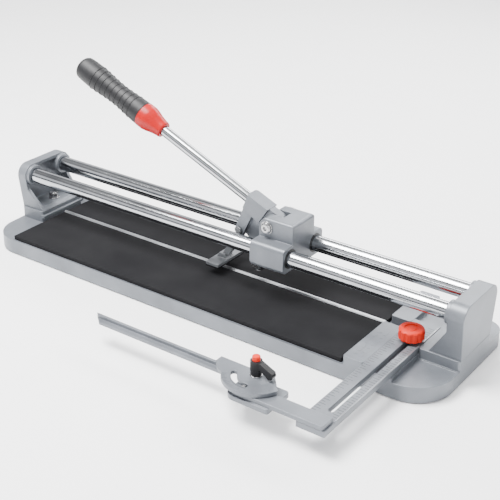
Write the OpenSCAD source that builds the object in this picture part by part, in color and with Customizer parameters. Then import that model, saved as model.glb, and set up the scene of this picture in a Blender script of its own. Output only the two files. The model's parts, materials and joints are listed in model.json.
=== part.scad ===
// Manual tile cutter: two guide rails over a cast base, a sliding carriage with a hinged
// scoring and breaking lever, and a sliding ruler with a swivelling fence.
// X runs along the rails, Y to the rear, Z up. The origin is on the score line, under the
// centre foot. Millimetres.

/* [Guide rails] */
// Diameter of the two guide rails
rail_d = 22; // [20:0.5:24]
// Distance between the rail axes
rail_pitch = 60; // [58:1:62]
// Height of the rail axes above the table
rail_z = 92; // [90:1:96]
// Half of the free rail length between the end supports
rail_half = 346; // [320:1:360]

/* [Base] */
// Left end of the base, from the origin
base_left = 367; // [367:1:380]
// Right end of the base, from the origin
base_right = 373; // [373:1:385]
// Front edge of the base, from the score line
base_front = 112; // [110:1:118]
// Rear edge of the base, from the score line
base_back = 95; // [90:1:100]
// Height of the base's deck
deck_z = 23; // [22:0.5:24]
// Thickness of the base's walls and deck
base_wall = 4; // [3:0.5:5]
// Height of the casting's lower edge above the table
skirt_z = 1.5; // [1:0.5:2]
// Top of the rubber pads that the tile lies on
pad_top = 28.8; // [28.5:0.1:29]
// Top of the ridge that the tile breaks over
ridge_top = 30.2; // [29.8:0.1:30.4]

/* [End supports] */
// Height of the joint between the left pedestal and its support
left_seam_z = 41; // [38:1:43]
// Height of the joint between the right plinth and its support
right_seam_z = 36.5; // [36:0.5:40]
// Half width of a support at its foot
support_foot = 41; // [38:1:43]
// Casting outside each rail axis, at the top of a support
support_r = 17.4; // [17:0.2:19]

/* [Fixed fence and ruler] */
// Face that the tile's right edge rests against
fence_x = 250; // [245:1:255]
// Top of the fixed fence
fence_top = 35.6; // [34:0.1:35.7]
// Left side of the ruler
ruler_x = 279; // [278:0.5:280]
// Width of the ruler
ruler_w = 37; // [36:0.5:37]
// Rear end of the ruler at rest
ruler_back = 18; // [10:1:25]
// Front end of the ruler at rest
ruler_front = 259; // [255:1:262]
// Underside of the ruler
ruler_z = 28.5; // [28.4:0.1:28.6]
// Thickness of the ruler
ruler_t = 7.5; // [7.4:0.1:7.6]
// Width of the ruler's slot
slot_w = 7.5; // [7:0.1:8]

/* [Swivelling fence] */
// Pivot of the fence, left and right
pivot_px = 200.5; // [199:0.5:202]
// Pivot of the fence, in front of the score line
pivot_py = 223.5; // [222:0.5:225]
// Radius of the protractor plate
dial_r = 41; // [40:0.5:42]
// Left end of the fence blade
blade_left = -55; // [-80:1:-40]

/* [Carriage and lever] */
// Left face of the carriage
car_x0 = 64.5; // [60:0.5:66]
// Length of the carriage along the rails
car_len = 53; // [52:0.5:56]
// Lever pivot along the rails
lever_x = 77; // [76:0.5:78]
// Height of the lever pivot
lever_z = 124; // [123:0.5:125]
// Angle of the handle above the rails at rest
lever_angle = 23.4; // [22:0.1:25]
// Diameter of the handle's steel rod
rod_d = 15; // [13:0.5:16]
// Distance from the pivot to the end of the grip
handle_len = 375; // [350:5:390]
// Distance from the pivot to the scoring wheel's axle
wheel_drop = 80; // [79:0.5:81]
// Diameter of the scoring wheel
wheel_d = 22; // [20:1:22]

/* [Hidden] */

$fn = 64;
over = 0.1;              // how far a cutter runs past the face it cuts
run_fit = 0.05;          // radial clearance of a running fit
rail_r = rail_d / 2;
rail_y = rail_pitch / 2;
rail_end = 14;           // rail length held inside each support
deck_under = deck_z - base_wall;
support_top = rail_z + support_r;
flange_x = rail_half + 5; // inner edge of a support's flanges
boss_r = 15.3;           // collar round each rail end
toe_left = 325;          // inner end of the left support's foot
toe_right = 329;
plinth_x = ruler_x + ruler_w + 0.6;
plinth_y = 43.5;
notch_y = 9;             // half width of the notch in the fixed fence
pad_x1 = fence_x - 3;    // right end of the pads and the ridge
ridge_half = 3.2;
bed_z = ruler_z - 0.2;   // channel floor that the ruler slides on
ruler_top = ruler_z + ruler_t;
slot_x = ruler_x + 20.7; // middle of the ruler's slot
slot_front = 218;        // slot's front round, from the score line
stud_y = 31;             // clamping knob, in front of the score line
foot_corners = [[-338, -83], [-338, 66], [334, -74], [350, 70]];
bolt_x = 342;            // support bolts, from the origin
bar_top = ruler_top + 6; // top of the fence bar
plate_z = ruler_z + 1;   // underside of the fence bar's plate, clear of the pads
stud_head = plate_z + 4.8;
bar_rear = 237;
face_y = 214.7;          // face of the swivelling fence, in front of the score line
dial_z = bar_top + 0.3;  // underside of the protractor plate
dial_t = 4.5;
dial_top = dial_z + dial_t;
car_x1 = car_x0 + car_len;
car_out = 17.5;          // half height and half width of a rail sleeve
cheek_y = 26;            // half width of the raised housing
cheek_r = 12.5;          // round of the housing about the lever pivot
lever_slot = 8.5;        // half width of the slot that the lever works in
web_x = 92;              // closed end of that slot
bush_r = rail_r + 2.5;
bush_len = 16;
pivot_r = 5;             // pivot bolt
shank_r = 4;             // scoring wheel holder's shank
foot_x0 = -22;           // left edge of the breaker foot
foot_x1 = 0;
foot_half = 30;          // half length of the breaker foot
foot_top = 46;
sole_top = 41.5;
sole_z = 40;

// ---------- shapes that several sub-parts use ----------

// A profile drawn in X and Z, from y0 to y1
module prism_y(y0, y1) {
    translate([0, y1, 0]) rotate([90, 0, 0]) linear_extrude(y1 - y0) children();
}

// A profile drawn in Y and Z, from x0 to x1
module prism_x(x0, x1) {
    translate([x0, 0, 0]) rotate([90, 0, 90]) linear_extrude(x1 - x0) children();
}

// A profile drawn in X and Y, from z0 to z1
module prism_z(z0, z1) {
    translate([0, 0, z0]) linear_extrude(z1 - z0) children();
}

module bar_x(x0, x1, y, z, r) {
    translate([x0, y, z]) rotate([0, 90, 0]) cylinder(h = x1 - x0, r = r);
}

module bar_y(x, y0, y1, z, r) {
    translate([x, y1, z]) rotate([90, 0, 0]) cylinder(h = y1 - y0, r = r);
}

module bar_z(x, y, z0, z1, r) {
    translate([x, y, z0]) cylinder(h = z1 - z0, r = r);
}

module ring_z(x, y, z0, z1, r, bore) {
    difference() {
        bar_z(x, y, z0, z1, r);
        bar_z(x, y, z0 - over, z1 + over, bore);
    }
}

// A box from one corner to the other
module box(a, b) {
    translate(a) cube(b - a);
}

// What a round of radius r takes off the corner at (x, y); sx and sy point inwards
module corner_cut(x, y, sx, sy, r) {
    difference() {
        translate([x + sx * (r - over) / 2, y + sy * (r - over) / 2])
            square(r + over, center = true);
        translate([x + sx * r, y + sy * r]) circle(r);
    }
}

module round_rect(x0, y0, x1, y1, r) {
    difference() {
        translate([x0, y0]) square([x1 - x0, y1 - y0]);
        corner_cut(x0, y0, 1, 1, r);
        corner_cut(x1, y0, -1, 1, r);
        corner_cut(x1, y1, -1, -1, r);
        corner_cut(x0, y1, 1, -1, r);
    }
}

// ---------- base ----------

// The base seen from above, drawn in by inset
module base_plan(inset) {
    left_r = 46 - inset;
    end_r = 26 - inset;
    round_r = 53 - inset;
    x0 = -base_left + inset;
    x1 = base_right - inset;
    y0 = -base_front + inset;
    y1 = base_back - inset;
    difference() {
        translate([x0, y0]) square([x1 - x0, y1 - y0]);
        corner_cut(x0, y0, 1, 1, left_r);
        corner_cut(x0, y1, 1, -1, left_r);
        corner_cut(x1, y1, -1, -1, end_r);
        corner_cut(x1, y0, -1, 1, round_r);
    }
}

module left_pedestal() {
    lip_z = 35;
    lip_t = 4;
    half = support_foot + 2;
    prism_z(deck_z, left_seam_z) round_rect(-base_left, -half, -toe_left + 0.5, half, 4);
    prism_z(lip_z - lip_t, lip_z) round_rect(-toe_left - 20, -half, -toe_left + 4, half, 1.5);
}

module right_plinth() {
    prism_z(deck_z, right_seam_z) round_rect(plinth_x, -plinth_y, base_right, plinth_y, 4);
}

// Raised blocks of the fixed fence, either side of the score line's notch
module fixed_fence() {
    x1 = ruler_x - 0.4;
    prism_z(deck_z, fence_top) {
        round_rect(fence_x, -base_front, x1, -notch_y, 3);
        round_rect(fence_x, notch_y, x1, base_back - 3, 3);
    }
}

// Cells under the raised blocks, so that no wall is thick
module raised_block_cores() {
    ring = base_wall;
    left_x = -base_left + ring;
    box([left_x, -support_foot + 3, skirt_z], [-toe_left - 4, support_foot - 3, left_seam_z - 5]);
    box([plinth_x + ring, -plinth_y + ring, skirt_z],
        [base_right - ring, plinth_y - ring, right_seam_z - 5]);
    box([fence_x + ring, -base_front + ring, skirt_z],
        [ruler_x - 5, -notch_y - 3, fence_top - ring]);
    box([fence_x + ring, notch_y + 3, skirt_z], [ruler_x - 5, base_back - 8, fence_top - ring]);
}

module base_ribs() {
    rib_t = 3;
    rib_z = 7;
    box([-base_left + 2, -4, rib_z], [base_right - 2, 4, deck_under + 1]);
    for (x = [-140, 100])
        box([x - rib_t / 2, -base_front + 2, rib_z], [x + rib_t / 2, base_back - 2, deck_under + 1]);
    for (p = foot_corners) bar_z(p[0], p[1], 4, deck_under + 1, 8);
    bar_z(0, 0, 4, deck_under + 1, 9);
}

module base_casting() {
    dish_z = deck_z - 1.5;
    color([0.66, 0.68, 0.70]) difference() {
        union() {
            difference() {
                union() {
                    prism_z(skirt_z, deck_z) base_plan(0);
                    left_pedestal();
                    right_plinth();
                    fixed_fence();
                    // channel floor under the ruler
                    box([ruler_x - 1, -base_front, deck_z - 1], [plinth_x + 1, base_back, bed_z]);
                }
                prism_z(skirt_z - over, deck_under) base_plan(base_wall);
                raised_block_cores();
            }
            base_ribs();
            // floors that the support bolts and the clamping stud pass through
            bar_z(slot_x, -stud_y, deck_under - 3, deck_z, 9);
        }
        // shallow dish in front of the right plinth
        prism_z(dish_z, bed_z + over) intersection() {
            base_plan(3);
            translate([plinth_x + 0.4, -base_front]) square([60, base_front - plinth_y - 0.5]);
        }
        // holes for the bolts, the pins, the stud and the foot screws
        for (side = [[-bolt_x, left_seam_z], [bolt_x, right_seam_z]]) {
            bar_z(side[0], 0, deck_z - 8, side[1] + over, 4);
            for (y = [-30, 30]) bar_z(side[0], y, side[1] - 6, side[1] + over, 2.5);
        }
        bar_z(slot_x, -stud_y, skirt_z, bed_z + over, 3);
        for (p = concat(foot_corners, [[0, 0]])) bar_z(p[0], p[1], skirt_z, 14, 2);
    }
}

module pad(y0, y1) {
    color([0.10, 0.10, 0.11]) prism_z(deck_z, pad_top)
        round_rect(-318, y0, pad_x1, y1, 1.5);
}

module front_pad() { pad(-base_front + 2.5, -ridge_half - 0.3); }

module rear_pad() { pad(ridge_half + 0.3, base_back - 3); }

module breaking_ridge() {
    h = ridge_half;
    color([0.62, 0.63, 0.64]) prism_x(-319, pad_x1)
        polygon([[-h, deck_z], [h, deck_z], [h, pad_top - 0.4], [1.2, ridge_top],
            [-1.2, ridge_top], [-h, pad_top - 0.4]]);
}

module foot_puck(p) {
    difference() {
        bar_z(p[0], p[1], 0, 4, 10);
        bar_z(p[0], p[1], 1.5, 4 + over, 2);
        bar_z(p[0], p[1], -over, 1.5, 4);
    }
}

module rubber_feet() {
    color([0.08, 0.08, 0.08]) for (p = foot_corners) foot_puck(p);
}

// The centre foot is glued into its boss, so its underside is whole
module centre_foot() {
    color([0.08, 0.08, 0.08]) union() {
        bar_z(0, 0, 0, 4, 11);
        bar_z(0, 0, 4 - over, 12, 2);
    }
}

module foot_screws() {
    color([0.75, 0.75, 0.76]) for (p = foot_corners) {
        bar_z(p[0], p[1], 0.7, 1.5, 3.8);
        bar_z(p[0], p[1], 1.5 - over, 13, 2);
    }
}

// ---------- end supports and rails ----------

// A support seen along the rails: two rounds about the rail axes, narrower at the foot
module support_face(seam_z, inset) {
    r = support_r - inset;
    foot = support_foot - inset;
    lean = asin((rail_y + support_r - support_foot) / (rail_z - seam_z)) / 2;
    for (s = [-1, 1]) translate([s * rail_y, rail_z]) circle(r);
    polygon([[-foot, seam_z], [foot, seam_z], [rail_y + r * cos(lean), rail_z - r * sin(lean)],
        [rail_y + r * cos(lean), rail_z], [rail_y, rail_z + r], [-rail_y, rail_z + r],
        [-rail_y - r * cos(lean), rail_z], [-rail_y - r * cos(lean), rail_z - r * sin(lean)]]);
}

// The right support; the left one is its mirror image on a taller pedestal
module end_support(outer, toe, seam_z) {
    wall = 5;
    floor_z = seam_z + 5;
    gusset_z = 72;
    difference() {
        union() {
            difference() {
                intersection() {
                    prism_x(toe - 1, outer) support_face(seam_z, 0);
                    prism_y(-60, 60) polygon([[outer, seam_z], [toe, seam_z],
                        [flange_x, gusset_z], [flange_x, support_top + 1],
                        [outer, support_top + 1]]);
                }
                // pocket open towards the carriage
                intersection() {
                    prism_x(toe - 2, outer - wall) support_face(seam_z, 6);
                    box([toe - 2, -60, floor_z], [outer, 60, support_top]);
                }
            }
            for (s = [-1, 1]) bar_x(rail_half, outer - wall + over, s * rail_y, rail_z, boss_r);
        }
        for (s = [-1, 1]) {
            bar_x(rail_half - over, rail_half + rail_end, s * rail_y, rail_z, rail_r);
            bar_z(rail_half + 7, s * rail_y, rail_z - boss_r - 1, rail_z, 2.5);
        }
    }
}

module bolt_holes(x, seam_z) {
    bar_z(x, 0, seam_z - over, seam_z + 5 + over, 4);
    for (y = [-30, 30]) bar_z(x, y, seam_z - over, seam_z + 3, 2.5);
}

module left_support() {
    color([0.66, 0.68, 0.70]) difference() {
        mirror([1, 0, 0]) end_support(base_left, toe_left, left_seam_z);
        bolt_holes(-bolt_x, left_seam_z);
    }
}

module right_support() {
    color([0.66, 0.68, 0.70]) difference() {
        end_support(base_right, toe_right, right_seam_z);
        bolt_holes(bolt_x, right_seam_z);
    }
}

module rail(y) {
    color([0.80, 0.81, 0.82]) bar_x(-rail_half - rail_end, rail_half + rail_end, y, rail_z, rail_r);
}

module front_rail() { rail(-rail_y); }

module rear_rail() { rail(rail_y); }

module support_bolts() {
    color([0.75, 0.75, 0.76]) for (side = [[-bolt_x, left_seam_z], [bolt_x, right_seam_z]]) {
        bar_z(side[0], 0, side[1] - 5, side[1] + 14, 4);
        bar_z(side[0], 0, side[1] - 9.5, side[1] - 5, 7);
    }
}

module support_washers() {
    color([0.75, 0.75, 0.76]) for (side = [[-bolt_x, left_seam_z], [bolt_x, right_seam_z]])
        ring_z(side[0], 0, side[1] + 5, side[1] + 6.6, 8.5, 4);
}

module support_nuts() {
    color([0.75, 0.75, 0.76]) for (side = [[-bolt_x, left_seam_z], [bolt_x, right_seam_z]])
        difference() {
            translate([side[0], 0, side[1] + 6.6]) cylinder(h = 6.4, r = 7.2, $fn = 6);
            bar_z(side[0], 0, side[1] + 6, side[1] + 14, 4);
        }
}

module locating_pins() {
    color([0.75, 0.75, 0.76])
        for (side = [[-bolt_x, left_seam_z], [bolt_x, right_seam_z]], y = [-30, 30])
            bar_z(side[0], y, side[1] - 5.5, side[1] + 2.8, 2.5);
}

module rail_grub_screws() {
    color([0.35, 0.35, 0.36]) for (sx = [-1, 1], sy = [-1, 1]) difference() {
        bar_z(sx * (rail_half + 7), sy * rail_y, rail_z - boss_r - 1.5, rail_z - rail_r + 0.5, 2.5);
        bar_x(-400, 400, sy * rail_y, rail_z, rail_r);
    }
}

// ---------- ruler and its clamping knob ----------

module clamp_stud() {
    color([0.75, 0.75, 0.76]) union() {
        bar_z(slot_x, -stud_y, deck_under - 7, deck_under - 3, 6.5);
        bar_z(slot_x, -stud_y, deck_under - 3 - over, 50, 3);
    }
}

module clamp_washer() {
    color([0.75, 0.75, 0.76]) ring_z(slot_x, -stud_y, ruler_top + 0.2, ruler_top + 1.6, 8, 3);
}

module clamp_knob() {
    knob_r = 16.5;
    base_z = ruler_top + 4;
    top_z = 53.5;
    lobes = 12;
    color([0.90, 0.20, 0.13]) difference() {
        union() {
            bar_z(slot_x, -stud_y, base_z, top_z - 2, knob_r);
            translate([slot_x, -stud_y, top_z - 2]) cylinder(h = 2, r1 = knob_r, r2 = knob_r - 2);
            translate([slot_x, -stud_y, ruler_top + 1.9])
                cylinder(h = base_z - ruler_top - 1.8, r1 = 10, r2 = 13);
        }
        for (i = [0 : lobes - 1]) rotate_about(slot_x, -stud_y, i * 360 / lobes)
            bar_z(slot_x + knob_r + 2.6, -stud_y, base_z - over, top_z + over, 3.6);
        bar_z(slot_x, -stud_y, top_z - 1.4, top_z + over, 9.5);
        bar_z(slot_x, -stud_y, ruler_top, 50.5, 5);
    }
}

// Turns its children about a vertical line through (x, y)
module rotate_about(x, y, a) {
    translate([x, y, 0]) rotate([0, 0, a]) translate([-x, -y, 0]) children();
}

module knob_insert() {
    color([0.80, 0.66, 0.35])
        ring_z(slot_x, -stud_y, ruler_top + 1.9, 50.4, 5, 3 + run_fit);
}

module ruler_arm() {
    x1 = ruler_x + ruler_w;
    rim_w = 2.4;
    color([0.70, 0.71, 0.72]) difference() {
        union() {
            box([ruler_x, -ruler_front, ruler_z], [x1, ruler_back, ruler_top]);
            // raised rim down the right edge
            box([x1 - rim_w, -bar_rear + 0.5, ruler_top - over], [x1, ruler_back, ruler_top + 0.6]);
        }
        prism_z(ruler_z - over, ruler_top + over) {
            translate([slot_x, -slot_front]) circle(slot_w / 2);
            translate([slot_x, -stud_y + 1]) circle(slot_w / 2);
            translate([slot_x - slot_w / 2, -slot_front])
                square([slot_w, slot_front - stud_y + 1]);
        }
        for (x = [ruler_x + 8, x1 - 8]) {
            bar_z(x, -248, ruler_z - over, ruler_top + over, 2.5);
            bar_z(x, -248, ruler_z - over, ruler_z + 3, 4.5);
        }
    }
}

// Bar on the ruler's front end, with a lower plate and a boss that carry the swivelling fence
module fence_bar() {
    plate_x0 = 182;
    plate_x1 = 243;
    plate_front = -ruler_front - 3;
    plate_rear = -face_y - 0.8;
    bar_x0 = 192;
    right_x = ruler_x + ruler_w - 2.5;
    color([0.70, 0.71, 0.72]) difference() {
        union() {
            prism_z(ruler_top, bar_top) {
                difference() {
                    translate([bar_x0, -ruler_front])
                        square([right_x - bar_x0, ruler_front - bar_rear]);
                    corner_cut(right_x, -ruler_front, -1, 1, 3);
                }
                translate([pivot_px, -pivot_py]) circle(15);
            }
            prism_z(plate_z, ruler_top + over) difference() {
                translate([plate_x0, plate_front])
                    square([plate_x1 - plate_x0, plate_rear - plate_front]);
                corner_cut(plate_x0, plate_front, 1, 1, 12);
                corner_cut(plate_x0, plate_rear, 1, -1, 5);
                corner_cut(plate_x1, plate_front, -1, 1, 3);
                corner_cut(plate_x1, plate_rear, -1, -1, 5);
            }
        }
        bar_z(pivot_px, -pivot_py, plate_z - over, bar_top + over, 4);
        bar_z(pivot_px, -pivot_py, plate_z - over, stud_head, 8.2);
        bar_z(pin_x, -pin_y, plate_z - over, bar_top + over, 2.5);
        for (x = [ruler_x + 8, ruler_x + ruler_w - 8])
            bar_z(x, -248, ruler_top - over, ruler_top + 4, 2.5);
    }
}

// Index pin in the protractor plate's arc, on a circle about the fence's pivot
arc_in = 22.2;
arc_out = 29.4;
arc_r = (arc_in + arc_out) / 2;
arc_start = 205;
arc_end = 275;
pin_angle = 272;
pin_x = pivot_px + arc_r * cos(pin_angle);
pin_y = pivot_py - arc_r * sin(pin_angle);

module fence_bar_screws() {
    color([0.75, 0.75, 0.76]) for (x = [ruler_x + 8, ruler_x + ruler_w - 8]) {
        bar_z(x, -248, ruler_z + 0.3, ruler_z + 3, 4.5);
        bar_z(x, -248, ruler_z + 3 - over, ruler_top + 3.9, 2.5);
    }
}

module index_pin() {
    color([0.75, 0.75, 0.76]) bar_z(pin_x, -pin_y, plate_z + 1, dial_top - 1, 2.5);
}

module swivel_stud() {
    color([0.75, 0.75, 0.76]) union() {
        translate([pivot_px, -pivot_py, plate_z + 0.3])
            cylinder(h = stud_head - plate_z - 0.3, r = 7.2, $fn = 6);
        bar_z(pivot_px, -pivot_py, stud_head - over, 58, 4);
    }
}

module swivel_washer() {
    color([0.75, 0.75, 0.76])
        ring_z(pivot_px, -pivot_py, dial_top + 0.1, dial_top + 1.3, 7.6, 4);
}

// ---------- swivelling fence and its clamping lever ----------

// Protractor plate and fence blade, one casting
module swivel_fence() {
    blade_z = ruler_z + 1;
    ledge_z = 33.5;
    blade_top = 38;
    blade_w = 11.3;
    heel_x = 158;
    nose = 13;
    color([0.70, 0.71, 0.72]) difference() {
        union() {
            prism_z(dial_z, dial_top) intersection() {
                translate([pivot_px, -pivot_py]) circle(dial_r);
                // straight rear edge, and a corner cut away at the right
                polygon([[100, -face_y], [221.4, -face_y], [239.6, -236.2], [250, -300],
                    [100, -300]]);
            }
            // arm that joins the plate to the blade
            prism_z(dial_z, dial_top) polygon([[144, -face_y], [144, -face_y - blade_w],
                [heel_x - 2, -238], [heel_x + 8, -243], [heel_x + 14, -face_y]]);
            box([144, -face_y - blade_w, blade_z], [heel_x, -face_y, dial_top - over]);
            // upright wall and the ledge in front of it
            prism_z(blade_z, blade_top) polygon([[blade_left, -face_y], [150, -face_y],
                [150, -face_y - 4], [blade_left + nose * 4 / blade_w, -face_y - 4]]);
            prism_z(blade_z, ledge_z) polygon([[blade_left, -face_y], [150, -face_y],
                [150, -face_y - blade_w], [blade_left + nose, -face_y - blade_w]]);
        }
        bar_z(pivot_px, -pivot_py, dial_z - over, dial_top + over, 4 + run_fit);
        // arc that the index pin runs in
        prism_z(dial_z - over, dial_top + over) {
            intersection() {
                difference() {
                    translate([pivot_px, -pivot_py]) circle(arc_out);
                    translate([pivot_px, -pivot_py]) circle(arc_in);
                }
                polygon([[pivot_px, -pivot_py],
                    for (a = [arc_start : (arc_end - arc_start) / 4 : arc_end])
                        [pivot_px + 60 * cos(a), -pivot_py + 60 * sin(a)]]);
            }
            for (a = [arc_start, arc_end])
                translate([pivot_px + arc_r * cos(a), -pivot_py + arc_r * sin(a)])
                    circle((arc_out - arc_in) / 2);
        }
    }
}

// Threaded metal core of the clamping lever, with a splined top
module lever_hub() {
    teeth = 12;
    z0 = dial_top + 1.5;
    color([0.80, 0.66, 0.35]) difference() {
        union() {
            bar_z(pivot_px, -pivot_py, z0, 60, 4.9);
            bar_z(pivot_px, -pivot_py, z0 - over, z0 + 1, 6);
            for (i = [0 : teeth - 1]) rotate_about(pivot_px, -pivot_py, i * 360 / teeth)
                box([pivot_px + 4, -pivot_py - 0.5, 52], [pivot_px + 5.4, -pivot_py + 0.5, 56]);
        }
        bar_z(pivot_px, -pivot_py, z0 - 1, 58.2, 4 + run_fit);
        bar_z(pivot_px, -pivot_py, 58, 60 + over, 2);
    }
}

module hub_screw() {
    color([0.35, 0.35, 0.36]) union() {
        bar_z(pivot_px, -pivot_py, 58.4, 66, 2);
        bar_z(pivot_px, -pivot_py, 66 - over, 68, 3.5);
    }
}

module lever_spring() {
    color([0.6, 0.6, 0.62]) ring_z(pivot_px, -pivot_py, 61.2, 65.8, 3.6, 2.3);
}

module clamp_lever() {
    neck_z = dial_top + 2.6;
    top_z = 67;
    color([0.11, 0.11, 0.12]) difference() {
        union() {
            bar_z(pivot_px, -pivot_py, neck_z, 55, 6.9);
            bar_z(pivot_px, -pivot_py, 54, top_z, 7.3);
            // arm, drooping to the right
            prism_y(-pivot_py - 4.2, -pivot_py + 4.2) {
                polygon([[pivot_px, 67], [pivot_px + 7.5, 66], [pivot_px + 25, 58],
                    [pivot_px + 19, 50], [pivot_px + 8, 57], [pivot_px, 57]]);
                translate([pivot_px + 20.5, 54]) circle(4.8);
            }
        }
        bar_z(pivot_px, -pivot_py, neck_z - over, 60.2, 5.6);
        bar_z(pivot_px, -pivot_py, 60, 61 + over, 2.3);
        bar_z(pivot_px, -pivot_py, 61, 78, 4.4);
    }
}

module clamp_cap() {
    color([0.92, 0.24, 0.12]) difference() {
        union() {
            bar_z(pivot_px, -pivot_py, 67, 72, 5);
            translate([pivot_px, -pivot_py, 72]) cylinder(h = 1, r1 = 5, r2 = 4);
            ring_z(pivot_px, -pivot_py, 65, 67 + over, 4.4, 3.95);
        }
        bar_z(pivot_px, -pivot_py, 64, 71.6, 3.95);
    }
}

// ---------- carriage ----------

module carriage_profile() {
    sleeve_top = rail_z + car_out;
    for (s = [-1, 1]) translate([s * rail_y, rail_z])
        round_rect(-car_out, -car_out - 0.5, car_out, car_out, 7);
    translate([-18, rail_z - 12]) square([36, sleeve_top - rail_z + 12]);
}

// The housing seen from the front, round about the lever pivot
module housing_side() {
    top = lever_z + cheek_r;
    translate([lever_x, lever_z]) circle(cheek_r);
    translate([car_x0, rail_z - 11]) square([car_len, lever_z - rail_z + 11]);
    difference() {
        translate([lever_x, rail_z]) square([car_x1 - lever_x, top - rail_z]);
        corner_cut(car_x1, top, -1, -1, 5);
    }
}

module carriage_body() {
    color([0.68, 0.70, 0.72]) difference() {
        union() {
            difference() {
                prism_x(car_x0, car_x1) carriage_profile();
                // bottom left corner of both sleeves is cut away
                prism_y(-60, 60) corner_cut(car_x0, rail_z - car_out - 0.5, 1, 1, 8);
            }
            intersection() {
                prism_x(car_x0, car_x1) round_rect(-cheek_y, rail_z - 11, cheek_y,
                    lever_z + cheek_r, 4);
                prism_y(-cheek_y - 1, cheek_y + 1) housing_side();
            }
        }
        // slot that the lever works in, with a solid web behind it
        box([car_x0 - 5, -lever_slot, 60], [web_x, lever_slot, 145]);
        for (s = [-1, 1])
            bar_x(car_x0 - over, car_x1 + over, s * rail_y, rail_z, bush_r);
        bar_y(lever_x, -60, 60, lever_z, pivot_r);
    }
}

module carriage_bushes() {
    color([0.12, 0.12, 0.13]) for (s = [-1, 1], x = [car_x0 - 0.3, car_x1 - bush_len + 0.3])
        difference() {
            bar_x(x, x + bush_len, s * rail_y, rail_z, bush_r);
            bar_x(x - 1, x + bush_len + 1, s * rail_y, rail_z, rail_r + run_fit);
        }
}

module pivot_bolt() {
    head_y = -cheek_y - 1.4;
    color([0.78, 0.78, 0.79]) difference() {
        union() {
            bar_y(lever_x, head_y - over, cheek_y + 10, lever_z, pivot_r);
            bar_y(lever_x, head_y - 2.4, head_y, lever_z, 7.8);
            translate([lever_x, head_y - 2.4, lever_z]) rotate([90, 0, 0])
                cylinder(h = 1.6, r1 = 7.8, r2 = 5.6);
        }
        translate([lever_x, head_y - 1.4, lever_z]) rotate([90, 0, 0])
            cylinder(h = 4, r = 3.2, $fn = 6);
    }
}

module pivot_washers() {
    color([0.75, 0.75, 0.76]) for (y = [-cheek_y - 1.4, -lever_slot + 0.3, 6.8, cheek_y])
        difference() {
            bar_y(lever_x, y, y + 1.4, lever_z, 9);
            bar_y(lever_x, y - 1, y + 3, lever_z, pivot_r);
        }
}

module pivot_nut() {
    color([0.75, 0.75, 0.76]) difference() {
        translate([lever_x, cheek_y + 8, lever_z]) rotate([90, 0, 0])
            cylinder(h = 6.6, r = 8.6, $fn = 6);
        bar_y(lever_x, cheek_y, cheek_y + 9, lever_z, pivot_r);
    }
}

// ---------- lever: handle, breaker foot and scoring wheel ----------

// Draws its children about the lever's pivot, with the handle lying along -X
module in_lever() {
    translate([lever_x, 0, lever_z]) rotate([0, lever_angle, 0]) children();
}

// Turns a shape that stands on Z so that it lies along the handle
module along_handle() {
    in_lever() rotate([0, -90, 0]) children();
}

head_end = 52;           // pivot to the end of the lever casting's head
eye_r = 11.5;
rod_in = 22;             // pivot to the blind end of the rod's bore
leg_x = 42.3;            // cross bolt of the foot's stem, from the pivot
leg_z = 45.7;
arm_end = 62;            // pivot to the end of the scoring wheel's arm
collar_s0 = 210;         // pivot to the small end of the collar
collar_s1 = 250;

module lever_casting() {
    color([0.68, 0.70, 0.72]) in_lever() difference() {
        union() {
            // head that holds the rod
            intersection() {
                prism_y(-11.5, 11.5) polygon([[-head_end, -12], [-head_end, 11], [-15.5, 11.5],
                    [-20, -15], [-40, -13.5]]);
                prism_z(-20, 20) round_rect(-head_end, -11.5, -10, 11.5, 5);
            }
            // tongue and eye
            prism_y(-6.5, 6.5) {
                polygon([[-24, 11], [0, eye_r], [0, -eye_r], [-24, -13]]);
                circle(eye_r);
            }
            // leg for the breaker foot
            prism_y(-9, 9) polygon([[-50, -11], [-33.5, -11], [-34.5, -51.5], [-49, -51.5]]);
            // web, and the arm that carries the scoring wheel
            prism_y(-4, 4) polygon([[-34, -12], [-8, -8], [8, -8], [7.5, -arm_end],
                [-7.5, -arm_end], [-10, -55], [-34, -48]]);
            bar_z(0, 0, -arm_end, -36, 7.5);
        }
        bar_x(-head_end - 1, -rod_in, 0, 0, rod_d / 2);
        bar_y(0, -10, 10, 0, pivot_r + run_fit);
        // socket for the foot's stem, and its cross bolt
        box([-47, -5, -52], [-37, 5, -20]);
        bar_y(-leg_x, -10, 10, -leg_z, 3);
        bar_y(-30, 4, 12, 0, 2.5);
        // bore for the wheel holder's shank, and its clamping screw
        bar_z(0, 0, -arm_end - over, -40, shank_r);
        bar_x(0, 9, 0, -50, 2.5);
    }
}

module handle_rod() {
    color([0.82, 0.83, 0.84]) in_lever() bar_x(-handle_len + 18, -rod_in, 0, 0, rod_d / 2);
}

module rod_screw() {
    color([0.75, 0.75, 0.76]) in_lever() difference() {
        bar_y(-30, 5, 14, 0, 2.5);
        bar_x(-60, -20, 0, 0, rod_d / 2);
    }
}

module grip_collar() {
    color([0.90, 0.10, 0.13]) along_handle() rotate_extrude()
        polygon([[rod_d / 2, collar_s0], [10.6, collar_s0], [11.7, collar_s0 + 1.2],
            [12.6, 218], [14.4, 226], [16.6, 233], [17.8, 238], [18, 242], [18, collar_s1],
            [rod_d / 2, collar_s1]]);
}

// Grip radius at distance s from the pivot: full at the collar, a waist, then a palm swell
function grip_r(s) = 16.4 + 1.3 * cos((s - collar_s1) * 360 / 96);

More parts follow.
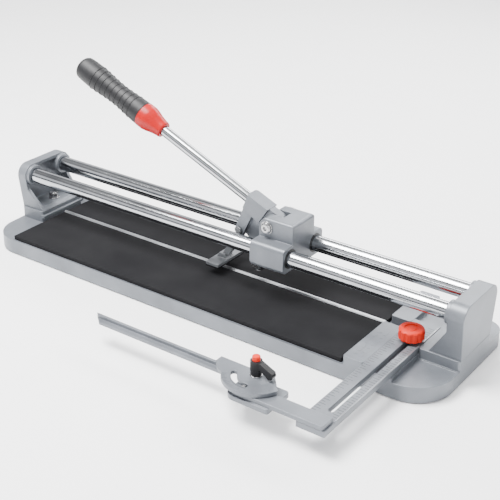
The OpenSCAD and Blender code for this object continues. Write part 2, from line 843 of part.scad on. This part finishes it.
module hand_grip() {
    steps = 12;
    start_s = collar_s1 + 0.2;
    end_s = handle_len - 10;
    color([0.10, 0.10, 0.11]) along_handle() difference() {
        rotate_extrude() polygon(concat([[0, start_s]],
            [for (i = [0 : steps]) let (s = start_s + (end_s - start_s) * i / steps)
                [grip_r(s), s]],
            [for (a = [15 : 15 : 90]) [grip_r(end_s) * cos(a), end_s + 10 * sin(a)]]));
        translate([0, 0, collar_s1]) cylinder(h = handle_len - 18 - collar_s1, r = rod_d / 2);
    }
}

module foot_stem() {
    color([0.45, 0.46, 0.48]) in_lever() difference() {
        prism_y(-5, 5) polygon([[-47, -20], [-37, -20], [-37, -62], [-44.6, -105.9],
            [-53.8, -109.9], [-47, -62]]);
        bar_y(-leg_x, -10, 10, -leg_z, 3);
    }
}

module foot_bolt() {
    color([0.80, 0.80, 0.81]) in_lever() {
        bar_y(-leg_x, -9 - over, 13, -leg_z, 3);
        translate([-leg_x, -9, -leg_z]) rotate([90, 0, 0]) cylinder(h = 4, r = 5.6, $fn = 6);
        translate([-leg_x, 13, -leg_z]) rotate([90, 0, 0]) cylinder(h = 4, r = 5.6, $fn = 6);
    }
}

module foot_bar() {
    color([0.45, 0.46, 0.48]) difference() {
        union() {
            prism_z(sole_top, foot_top) round_rect(foot_x0, -foot_half, foot_x1, foot_half, 2);
            // saddle that is welded to the stem
            prism_y(-8, 8) polygon([[-19, foot_top - over], [-3, foot_top - over],
                [-5, 52.5], [-15, 52.5]]);
        }
        foot_stem();
    }
}

module foot_sole() {
    color([0.07, 0.07, 0.07]) prism_z(sole_z, sole_top)
        round_rect(foot_x0 - 0.3, -foot_half - 0.3, foot_x1 + 0.3, foot_half + 0.3, 2.3);
}

// Fork on a round shank, clamped in the lever's arm
module wheel_holder() {
    color([0.45, 0.46, 0.48]) in_lever() difference() {
        union() {
            bar_z(0, 0, -arm_end - 1, -40.2, shank_r);
            prism_y(-6, 6) polygon([[-6, -arm_end - 0.4], [6, -arm_end - 0.4], [7, -70],
                [7, -wheel_drop - 2], [4, -wheel_drop - 6], [-4, -wheel_drop - 6],
                [-7, -wheel_drop - 2], [-7, -70]]);
        }
        bar_y(0, -1.8, 1.8, -wheel_drop, wheel_d / 2 + 1.5);
        bar_y(0, -10, 10, -wheel_drop, 3);
    }
}

module wheel_screw() {
    color([0.35, 0.35, 0.36]) in_lever() bar_x(shank_r, 8, 0, -50, 2.5);
}

module wheel_axle() {
    color([0.75, 0.75, 0.76]) in_lever() {
        bar_y(0, -6 - over, 6 + over, -wheel_drop, 3);
        bar_y(0, -8, -6, -wheel_drop, 5);
        bar_y(0, 6, 7.6, -wheel_drop, 4);
    }
}

module scoring_wheel() {
    color([0.55, 0.56, 0.58]) in_lever() translate([0, 0, -wheel_drop]) rotate([90, 0, 0])
        rotate_extrude() polygon([[3 + run_fit, -1.5], [8.5, -1.5], [wheel_d / 2, 0],
            [8.5, 1.5], [3 + run_fit, 1.5]]);
}

base_casting();
front_pad();
rear_pad();
breaking_ridge();
left_support();
right_support();
front_rail();
rear_rail();
support_bolts();
support_washers();
support_nuts();
locating_pins();
rail_grub_screws();
rubber_feet();
centre_foot();
foot_screws();
clamp_stud();
clamp_washer();
clamp_knob();
knob_insert();
ruler_arm();
fence_bar();
fence_bar_screws();
index_pin();
swivel_stud();
swivel_washer();
swivel_fence();
lever_hub();
hub_screw();
clamp_lever();
clamp_cap();
lever_spring();
carriage_body();
carriage_bushes();
pivot_bolt();
pivot_washers();
pivot_nut();
lever_casting();
handle_rod();
rod_screw();
grip_collar();
hand_grip();
foot_stem();
foot_bolt();
foot_bar();
foot_sole();
wheel_holder();
wheel_screw();
wheel_axle();
scoring_wheel();
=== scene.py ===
import json
import math

import bmesh
import bpy
from mathutils import Matrix, Vector

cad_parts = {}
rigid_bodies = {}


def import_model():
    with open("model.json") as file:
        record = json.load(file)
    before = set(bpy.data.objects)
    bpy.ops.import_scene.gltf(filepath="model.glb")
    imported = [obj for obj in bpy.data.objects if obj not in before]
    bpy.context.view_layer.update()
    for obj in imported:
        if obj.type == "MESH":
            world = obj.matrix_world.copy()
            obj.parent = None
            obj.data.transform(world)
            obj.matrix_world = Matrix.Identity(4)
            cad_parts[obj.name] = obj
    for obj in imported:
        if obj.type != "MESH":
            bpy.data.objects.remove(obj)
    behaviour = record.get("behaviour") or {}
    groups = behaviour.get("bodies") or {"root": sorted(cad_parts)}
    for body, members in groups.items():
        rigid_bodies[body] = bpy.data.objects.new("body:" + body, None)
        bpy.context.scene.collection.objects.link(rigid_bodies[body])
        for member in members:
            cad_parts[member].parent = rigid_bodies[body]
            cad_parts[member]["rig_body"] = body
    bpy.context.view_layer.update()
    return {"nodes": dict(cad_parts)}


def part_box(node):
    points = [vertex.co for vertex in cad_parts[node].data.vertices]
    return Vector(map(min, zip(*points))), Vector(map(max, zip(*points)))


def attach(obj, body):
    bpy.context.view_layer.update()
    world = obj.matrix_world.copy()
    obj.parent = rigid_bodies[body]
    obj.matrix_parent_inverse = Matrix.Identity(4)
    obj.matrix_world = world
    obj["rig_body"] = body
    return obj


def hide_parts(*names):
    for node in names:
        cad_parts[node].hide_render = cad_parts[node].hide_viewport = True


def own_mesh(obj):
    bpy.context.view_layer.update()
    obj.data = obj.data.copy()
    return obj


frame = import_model()

# Castings: base, end supports, carriage, lever, ruler and both fences. Die-cast zinc or
# aluminium with every edge left soft by the mould, sprayed with a silver-grey paint that
# dries to a fine grain.
MM = 0.001
EASED_ANGLE = math.radians(28)


def grained(name, pale, dark, roughness, metallic, grain_mm, depth, wear=0.06, gleam=0.5):
    """A finish whose colour and gloss drift slowly and whose surface has a fine grain."""
    made = bpy.data.materials.new(name)
    made.use_nodes = True
    nodes, links = made.node_tree.nodes, made.node_tree.links
    shader = nodes["Principled BSDF"]
    place = nodes.new("ShaderNodeTexCoord")
    drift = nodes.new("ShaderNodeTexNoise")
    drift.inputs["Scale"].default_value = 22
    drift.inputs["Detail"].default_value = 4
    grain = nodes.new("ShaderNodeTexNoise")
    grain.inputs["Scale"].default_value = 1 / (grain_mm * MM)
    grain.inputs["Detail"].default_value = 2
    for texture in (drift, grain):
        links.new(place.outputs["Object"], texture.inputs["Vector"])
    both = nodes.new("ShaderNodeMath")
    both.operation = "MULTIPLY_ADD"
    both.inputs[1].default_value = 0.35
    links.new(grain.outputs["Fac"], both.inputs[0])
    links.new(drift.outputs["Fac"], both.inputs[2])
    tint = nodes.new("ShaderNodeValToRGB")
    tint.color_ramp.elements[0].position = 0.45
    tint.color_ramp.elements[0].color = (*dark, 1)
    tint.color_ramp.elements[1].position = 0.9
    tint.color_ramp.elements[1].color = (*pale, 1)
    links.new(both.outputs[0], tint.inputs["Fac"])
    links.new(tint.outputs["Color"], shader.inputs["Base Color"])
    gloss = nodes.new("ShaderNodeMapRange")
    gloss.inputs["To Min"].default_value = roughness - wear
    gloss.inputs["To Max"].default_value = roughness + wear
    links.new(drift.outputs["Fac"], gloss.inputs["Value"])
    links.new(gloss.outputs["Result"], shader.inputs["Roughness"])
    relief = nodes.new("ShaderNodeBump")
    relief.inputs["Strength"].default_value = depth
    relief.inputs["Distance"].default_value = 0.1 * MM
    links.new(grain.outputs["Fac"], relief.inputs["Height"])
    links.new(relief.outputs["Normal"], shader.inputs["Normal"])
    shader.inputs["Metallic"].default_value = metallic
    shader.inputs["Specular IOR Level"].default_value = gleam
    return made


def show(name, body, shape, material, stands_for=()):
    """Makes a bmesh into a smooth-shaded piece that rides on a body."""
    mesh = bpy.data.meshes.new(name)
    shape.to_mesh(mesh)
    shape.free()
    mesh.shade_smooth()
    mesh.set_sharp_from_angle(angle=math.radians(35))
    piece = bpy.data.objects.new(name, mesh)
    bpy.context.scene.collection.objects.link(piece)
    mesh.materials.append(material)
    if stands_for:
        # the piece takes the place of CAD nodes, so its flat faces are shaded evenly
        weighted = piece.modifiers.new("even_shading", "WEIGHTED_NORMAL")
        weighted.keep_sharp = True
        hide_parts(*stands_for)
    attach(piece, body)
    return piece


def eased(node, radius_mm, steps, material):
    """A node's own shape with its triangles merged and its hard edges rounded."""
    shape = bmesh.new()
    shape.from_mesh(frame["nodes"][node].data)
    bmesh.ops.remove_doubles(shape, verts=shape.verts, dist=0.002 * MM)
    hard = [
        e for e in shape.edges if e.is_manifold and e.calc_face_angle(0) > EASED_ANGLE
    ]
    if radius_mm and hard:
        bmesh.ops.bevel(
            shape, geom=hard, offset=radius_mm * MM, offset_type="OFFSET",
            segments=steps, profile=0.5, affect="EDGES", clamp_overlap=False, material=-1,
        )
    low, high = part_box(node)
    for v in shape.verts:
        v.co = [min(max(v.co[i], low[i]), high[i]) for i in range(3)]
    body = frame["nodes"][node]["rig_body"]
    return show(node + "_finished", body, shape, material, (node,))


casting_paint = grained(
    "casting_paint", (0.165, 0.177, 0.196), (0.11, 0.119, 0.133), 0.40, 0.3, 0.7, 0.4
)
for node, radius_mm in (
    ("base_casting", 0.5), ("left_support", 0.8), ("right_support", 0.8),
    ("carriage_body", 0.5), ("lever_casting", 0.35), ("swivel_fence", 0.5),
    ("ruler_arm", 0.3), ("fence_bar", 0.8),
):
    eased(node, radius_mm, 3, casting_paint)

# Pads, feet and the breaker foot's sole. Black rubber sheet and moulded pucks, glued or
# screwed down, with a fine pebbled face.
pad_rubber = grained(
    "pad_rubber", (0.010, 0.010, 0.011), (0.005, 0.005, 0.006), 0.78, 0.0, 0.9, 0.6, gleam=0.12
)
for node in ("front_pad", "rear_pad", "rubber_feet", "centre_foot", "foot_sole"):
    eased(node, 0.4, 2, pad_rubber)

# Breaking ridge. An extruded aluminium strip set between the pads, with a worn top.
ridge_metal = grained(
    "ridge_metal", (0.42, 0.43, 0.44), (0.28, 0.29, 0.30), 0.34, 0.85, 1.2, 0.2
)
eased("breaking_ridge", 0.2, 2, ridge_metal)

# Guide rails and the handle's rod. Ground steel bars with hard chrome plating, whose
# gloss drifts a little from place to place.
chrome = grained(
    "chrome_plate", (0.45, 0.46, 0.475), (0.36, 0.37, 0.385), 0.15, 1.0, 3.0, 0.03, 0.04
)
for node in ("front_rail", "rear_rail", "handle_rod"):
    eased(node, 0.6, 2, chrome)

# Bolts, nuts, washers, pins and studs. Turned and rolled steel with bright zinc plating.
zinc = grained("zinc_plate", (0.50, 0.50, 0.505), (0.36, 0.36, 0.36), 0.25, 1.0, 0.8, 0.12)
for node in (
    "support_bolts", "support_washers", "support_nuts", "locating_pins", "foot_screws",
    "clamp_stud", "clamp_washer", "fence_bar_screws", "index_pin", "swivel_stud",
    "swivel_washer", "pivot_bolt", "pivot_washers", "pivot_nut", "rod_screw", "foot_bolt",
    "wheel_axle",
):
    eased(node, 0.25, 2, zinc)

# Grub screws, and the clamp lever's screw and hub. Steel, left black from the oil bath.
black_oxide = grained(
    "black_oxide", (0.06, 0.06, 0.065), (0.03, 0.03, 0.032), 0.36, 0.8, 0.7, 0.15
)
for node in ("rail_grub_screws", "hub_screw", "lever_hub", "wheel_screw"):
    eased(node, 0.15, 2, black_oxide)

# Breaker foot, its stem and the wheel's fork. Steel, sprayed in a grey close to that of
# the castings, a little less blue.
dark_paint = grained(
    "dark_paint", (0.165, 0.172, 0.182), (0.11, 0.116, 0.123), 0.36, 0.3, 0.8, 0.3
)
for node in ("foot_stem", "foot_bar", "wheel_holder"):
    eased(node, 0.6, 3, dark_paint)

# Scoring wheel and the clamp lever's spring. Hard steel, the wheel ground to an edge. The
# real spring is held at its top and shortens as the clamp lever is lifted; here it only gets its own
# copy of its mesh.
hard_steel = grained(
    "hard_steel", (0.46, 0.46, 0.47), (0.32, 0.32, 0.33), 0.24, 1.0, 0.5, 0.1
)
eased("scoring_wheel", 0, 1, hard_steel)
spring = eased("lever_spring", 0, 1, hard_steel)
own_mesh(spring)

# Threaded insert inside the knob. Turned brass, moulded in.
brass = grained("insert_brass", (0.62, 0.45, 0.17), (0.44, 0.30, 0.10), 0.3, 1.0, 0.6, 0.1)
eased("knob_insert", 0.15, 2, brass)

# Clamping knob and the clamp lever's cap. Orange-red nylon with a satin moulded face.
orange = grained(
    "orange_nylon", (0.66, 0.022, 0.006), (0.50, 0.012, 0.003), 0.40, 0.0, 0.6, 0.2, gleam=0.2
)
for node in ("clamp_knob", "clamp_cap"):
    eased(node, 0.3, 3, orange)

# Middle of the knob's dished top. A low round boss, moulded with the knob.
knob_low, knob_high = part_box("clamp_knob")
boss = bmesh.new()
bmesh.ops.create_cone(
    boss, cap_ends=True, segments=64, radius1=6 * MM, radius2=5.2 * MM, depth=1.0 * MM,
    matrix=Matrix.Translation((
        (knob_low.x + knob_high.x) / 2, (knob_low.y + knob_high.y) / 2, knob_high.z - 1.0 * MM,
    )),
)
show("knob_boss", "knob", boss, orange)

# Collar at the root of the grip. Glossy red plastic, pushed on to the rod.
red = grained("red_gloss", (0.42, 0.003, 0.004), (0.33, 0.002, 0.003), 0.34, 0.0, 1.5, 0.05, gleam=0.25)
eased("grip_collar", 0.8, 3, red)

# Clamp lever and the carriage's bushes. Black glass-filled nylon, matte from the mould.
black_nylon = grained(
    "black_nylon", (0.012, 0.012, 0.013), (0.006, 0.006, 0.007), 0.44, 0.0, 0.6, 0.3, gleam=0.35
)
for node, radius_mm in (("clamp_lever", 0.25), ("carriage_bushes", 0.3)):
    eased(node, radius_mm, 3, black_nylon)

# Hand grip. Soft black rubber moulded over the rod, with raised rings to hold on to.
grip_rubber = grained(
    "grip_rubber", (0.012, 0.012, 0.013), (0.006, 0.006, 0.007), 0.52, 0.0, 0.7, 0.5, gleam=0.35
)
eased("hand_grip", 0.5, 2, grip_rubber)


def merge(shape, part):
    """Adds one closed shape to another."""
    holder = bpy.data.meshes.new("part")
    part.to_mesh(holder)
    part.free()
    shape.from_mesh(holder)
    bpy.data.meshes.remove(holder)


def add_block(shape, centre, size, turn=0.0, pivot=None):
    """Adds a box of that size, turned about the vertical through a pivot."""
    place = Matrix.Translation(centre) @ Matrix.Diagonal((*size, 1))
    if pivot is not None:
        here = Matrix.Translation(pivot)
        place = here @ Matrix.Rotation(turn, 4, "Z") @ here.inverted() @ place
    bmesh.ops.create_cube(shape, size=1, matrix=place)


# Graduations on the ruler. Fine dark lines on both sides of the slot, with no numbers,
# every second one longer. They stand a hair above the paint.
ink = grained("engraved_line", (0.055, 0.058, 0.06), (0.03, 0.032, 0.034), 0.5, 0.2, 0.5, 0.2)
ruler_low, ruler_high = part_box("ruler_arm")
RIM_UP, ENDS_BARE, FIRST_LINE = 0.6 * MM, 30 * MM, 26 * MM
ruler_face = ruler_high.z - RIM_UP
marked_length = ruler_high.y - ruler_low.y - ENDS_BARE
LINE_W, LINE_UP, PITCH = 0.8 * MM, 0.12 * MM, 5 * MM
lines = bmesh.new()
for i in range(int(marked_length / PITCH)):
    y = ruler_low.y + FIRST_LINE + i * PITCH
    long_one = i % 2 == 0
    for edge_x, inward in ((ruler_low.x + 1.2 * MM, 1), (ruler_high.x - 3.2 * MM, -1)):
        length = (8.5 if long_one else 5) * MM
        centre = Vector((edge_x + inward * length / 2, y, ruler_face))
        add_block(lines, centre, (length, LINE_W, LINE_UP))
show("ruler_graduations", "ruler", lines, ink)

# Serrated rim down the ruler's right edge. Small teeth pressed into the raised rim, worn
# bright where a thumb pushes them.
teeth = bmesh.new()
TOOTH_PITCH = 2.2 * MM
for i in range(int(marked_length / TOOTH_PITCH)):
    y = ruler_low.y + FIRST_LINE + i * TOOTH_PITCH
    centre = Vector((ruler_high.x - 1.2 * MM, y, ruler_high.z + 0.05 * MM))
    add_block(teeth, centre, (1.9 * MM, 1.0 * MM, 0.5 * MM))
show("ruler_rim_teeth", "ruler", teeth, ridge_metal)

# Degree marks on the protractor plate. Short raised bars cast with the plate, round its
# front rim.
dial_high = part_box("swivel_fence")[1]
stud_low, stud_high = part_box("swivel_stud")
pivot = Vector(((stud_low.x + stud_high.x) / 2, (stud_low.y + stud_high.y) / 2, 0))
marks = bmesh.new()
for degrees in range(-60, 61, 5):
    length = (5.5 if degrees % 15 == 0 else 3.5) * MM
    centre = pivot + Vector((0, -(39.5 * MM - length / 2), dial_high.z + 0.1 * MM))
    add_block(marks, centre, (0.7 * MM, length, 0.4 * MM), math.radians(degrees), pivot)
show("protractor_marks", "fence", marks, casting_paint)

# Rims of the protractor plate. Two low beads cast with the plate, one round its front
# edge and one just outside the arc.
rims = bmesh.new()
for inner_mm, outer_mm, first, last in ((39.4, 40.9, 212, 338), (29.9, 31.0, 199, 281)):
    bead = bmesh.new()
    start = Matrix.Translation(pivot) @ Matrix.Rotation(math.radians(first), 4, "Z")
    middle = Vector(((inner_mm + outer_mm) / 2 * MM, 0, dial_high.z + 0.2 * MM))
    section = Matrix.Translation(middle) @ Matrix.Rotation(math.pi / 2, 4, "X")
    section = section @ Matrix.Diagonal(((outer_mm - inner_mm) * MM, 0.8 * MM, 1, 1))
    bmesh.ops.create_grid(bead, x_segments=1, y_segments=1, size=0.5, matrix=start @ section)
    bmesh.ops.delete(bead, geom=bead.faces[:], context="FACES_ONLY")
    bmesh.ops.spin(
        bead, geom=bead.verts[:] + bead.edges[:], cent=pivot, axis=(0, 0, 1),
        angle=math.radians(last - first), steps=48,
    )
    bmesh.ops.holes_fill(bead, edges=bead.edges, sides=4)
    bmesh.ops.recalc_face_normals(bead, faces=bead.faces)
    merge(rims, bead)
show("protractor_rims", "fence", rims, casting_paint)

# Raised pattern on the fixed fence's front block. Plain bars cast in two rows, where a
# maker would put words.
fence_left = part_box("front_pad")[1].x + 3 * MM
FIRST_BAR_Y, BAR_PITCH, FENCE_TOP = -98 * MM, 10 * MM, 35.6 * MM
bars = bmesh.new()
for row, x_mm in enumerate((9, 18)):
    for i in range(7):
        centre = Vector((fence_left + x_mm * MM, FIRST_BAR_Y + i * BAR_PITCH, FENCE_TOP))
        bar_long = 6.5 if (i + row) % 3 else 3.5
        add_block(bars, centre, (4.5 * MM, bar_long * MM, 0.4 * MM))
show("fence_block_pattern", "base", bars, casting_paint)

# Rings on the grip. Rubber beads moulded round the grip, close together.
pivot_low, pivot_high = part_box("pivot_bolt")
lever_pivot = Vector(((pivot_low.x + pivot_high.x) / 2, 0, (pivot_low.z + pivot_high.z) / 2))
HANDLE_ANGLE = math.radians(23.4)
along = Vector((-math.cos(HANDLE_ANGLE), 0, math.sin(HANDLE_ANGLE)))
FIRST_RING, RING_PITCH, GRIP_START, SWELL_LENGTH = 268, 9, 250, 96
rings = bmesh.new()
for i in range(9):
    distance_mm = FIRST_RING + i * RING_PITCH
    distance = distance_mm * MM
    swell = 16.4 + 1.3 * math.cos(2 * math.pi * (distance_mm - GRIP_START) / SWELL_LENGTH)
    place = Matrix.Translation(lever_pivot + along * distance)
    place = place @ along.to_track_quat("Z", "Y").to_matrix().to_4x4()
    standing = Matrix.Rotation(math.pi / 2, 4, "X")
    ring = bmesh.new()
    bmesh.ops.create_circle(
        ring, segments=10, radius=0.9 * MM,
        matrix=Matrix.Translation(((swell - 0.2) * MM, 0, 0)) @ standing,
    )
    bmesh.ops.spin(
        ring, geom=ring.verts[:] + ring.edges[:], cent=(0, 0, 0), axis=(0, 0, 1),
        angle=2 * math.pi, steps=64, use_merge=True,
    )
    bmesh.ops.remove_doubles(ring, verts=ring.verts, dist=0.002 * MM)
    bmesh.ops.recalc_face_normals(ring, faces=ring.faces)
    ring.transform(place)
    merge(rings, ring)
show("grip_rings", "lever", rings, grip_rubber)

# Floor. One plain pale sheet under the whole tool, wide enough to fill the camera's view.
# A low view from behind still sees past its edge.
floor_paint = grained(
    "floor_paint", (0.99, 0.99, 0.99), (0.98, 0.98, 0.98), 0.7, 0.0, 4.0, 0.0
)
ground = bmesh.new()
bmesh.ops.create_grid(ground, x_segments=1, y_segments=1, size=12)
ground_mesh = bpy.data.meshes.new("floor")
ground.to_mesh(ground_mesh)
ground.free()
ground_mesh.materials.append(floor_paint)
floor = bpy.data.objects.new("floor", ground_mesh)
bpy.context.scene.collection.objects.link(floor)


# Studio light. A broad soft box above and to the left, a strip behind for the rails, a
# weak one in front, and a sky of light and dark bands for the chrome to reflect.
def soft_box(name, place, aim, size, power):
    lamp = bpy.data.lights.new(name, "AREA")
    lamp.shape = "RECTANGLE"
    lamp.size, lamp.size_y = size
    lamp.energy = power
    holder = bpy.data.objects.new(name, lamp)
    bpy.context.scene.collection.objects.link(holder)
    holder.location = place
    holder.rotation_mode = "QUATERNION"
    holder.rotation_quaternion = (Vector(aim) - Vector(place)).to_track_quat("-Z", "Y")


soft_box("key_box", (-0.6, -0.5, 2.0), (0, 0, 0.05), (1.1, 1.1), 165)
soft_box("rear_strip", (0.2, 1.5, 1.1), (0, 0, 0.08), (2.2, 0.4), 40)
soft_box("front_fill", (1.4, -1.6, 0.9), (0.1, -0.1, 0.05), (1.0, 1.0), 12)
sky = bpy.data.worlds.new("studio")
bpy.context.scene.world = sky
sky.use_nodes = True
sky_nodes, sky_links = sky.node_tree.nodes, sky.node_tree.links
direction = sky_nodes.new("ShaderNodeTexCoord")
split = sky_nodes.new("ShaderNodeSeparateXYZ")
ramp = sky_nodes.new("ShaderNodeValToRGB")
ramp.color_ramp.elements[0].position = 0.16
ramp.color_ramp.elements[0].color = (0.10, 0.105, 0.115, 1)
ramp.color_ramp.elements[1].position = 0.88
ramp.color_ramp.elements[1].color = (1.0, 1.0, 1.0, 1)
for height, tone in ((0.34, 0.90), (0.50, 0.85), (0.60, 0.14), (0.76, 0.18)):
    band = ramp.color_ramp.elements.new(height)
    band.color = (tone, tone * 1.01, tone * 1.04, 1)
sky_links.new(direction.outputs["Generated"], split.inputs["Vector"])
sky_links.new(split.outputs["Z"], ramp.inputs["Fac"])
sky_links.new(ramp.outputs["Color"], sky_nodes["Background"].inputs["Color"])
sky_nodes["Background"].inputs["Strength"].default_value = 2.0

# Camera. Above the right front corner, a little tilted, with a long lens.
AZIMUTH, ELEVATION, TILT = (math.radians(d) for d in (35.17, 26.70, 0.80))
ahead = Vector((
    -math.sin(AZIMUTH) * math.cos(ELEVATION),
    math.cos(AZIMUTH) * math.cos(ELEVATION),
    -math.sin(ELEVATION),
))
level = Vector((math.cos(AZIMUTH), math.sin(AZIMUTH), 0))
upright = level.cross(ahead)
across = math.cos(TILT) * level + math.sin(TILT) * upright
above = math.cos(TILT) * upright - math.sin(TILT) * level
lens = bpy.data.cameras.new("camera")
lens.sensor_width = 36
lens.lens = 79.48
camera = bpy.data.objects.new("camera", lens)
bpy.context.scene.collection.objects.link(camera)
turn = Matrix((across, above, -ahead)).transposed().to_4x4()
camera.matrix_world = Matrix.Translation((0.8111, -1.1057, 0.7474)) @ turn
bpy.context.scene.camera = camera
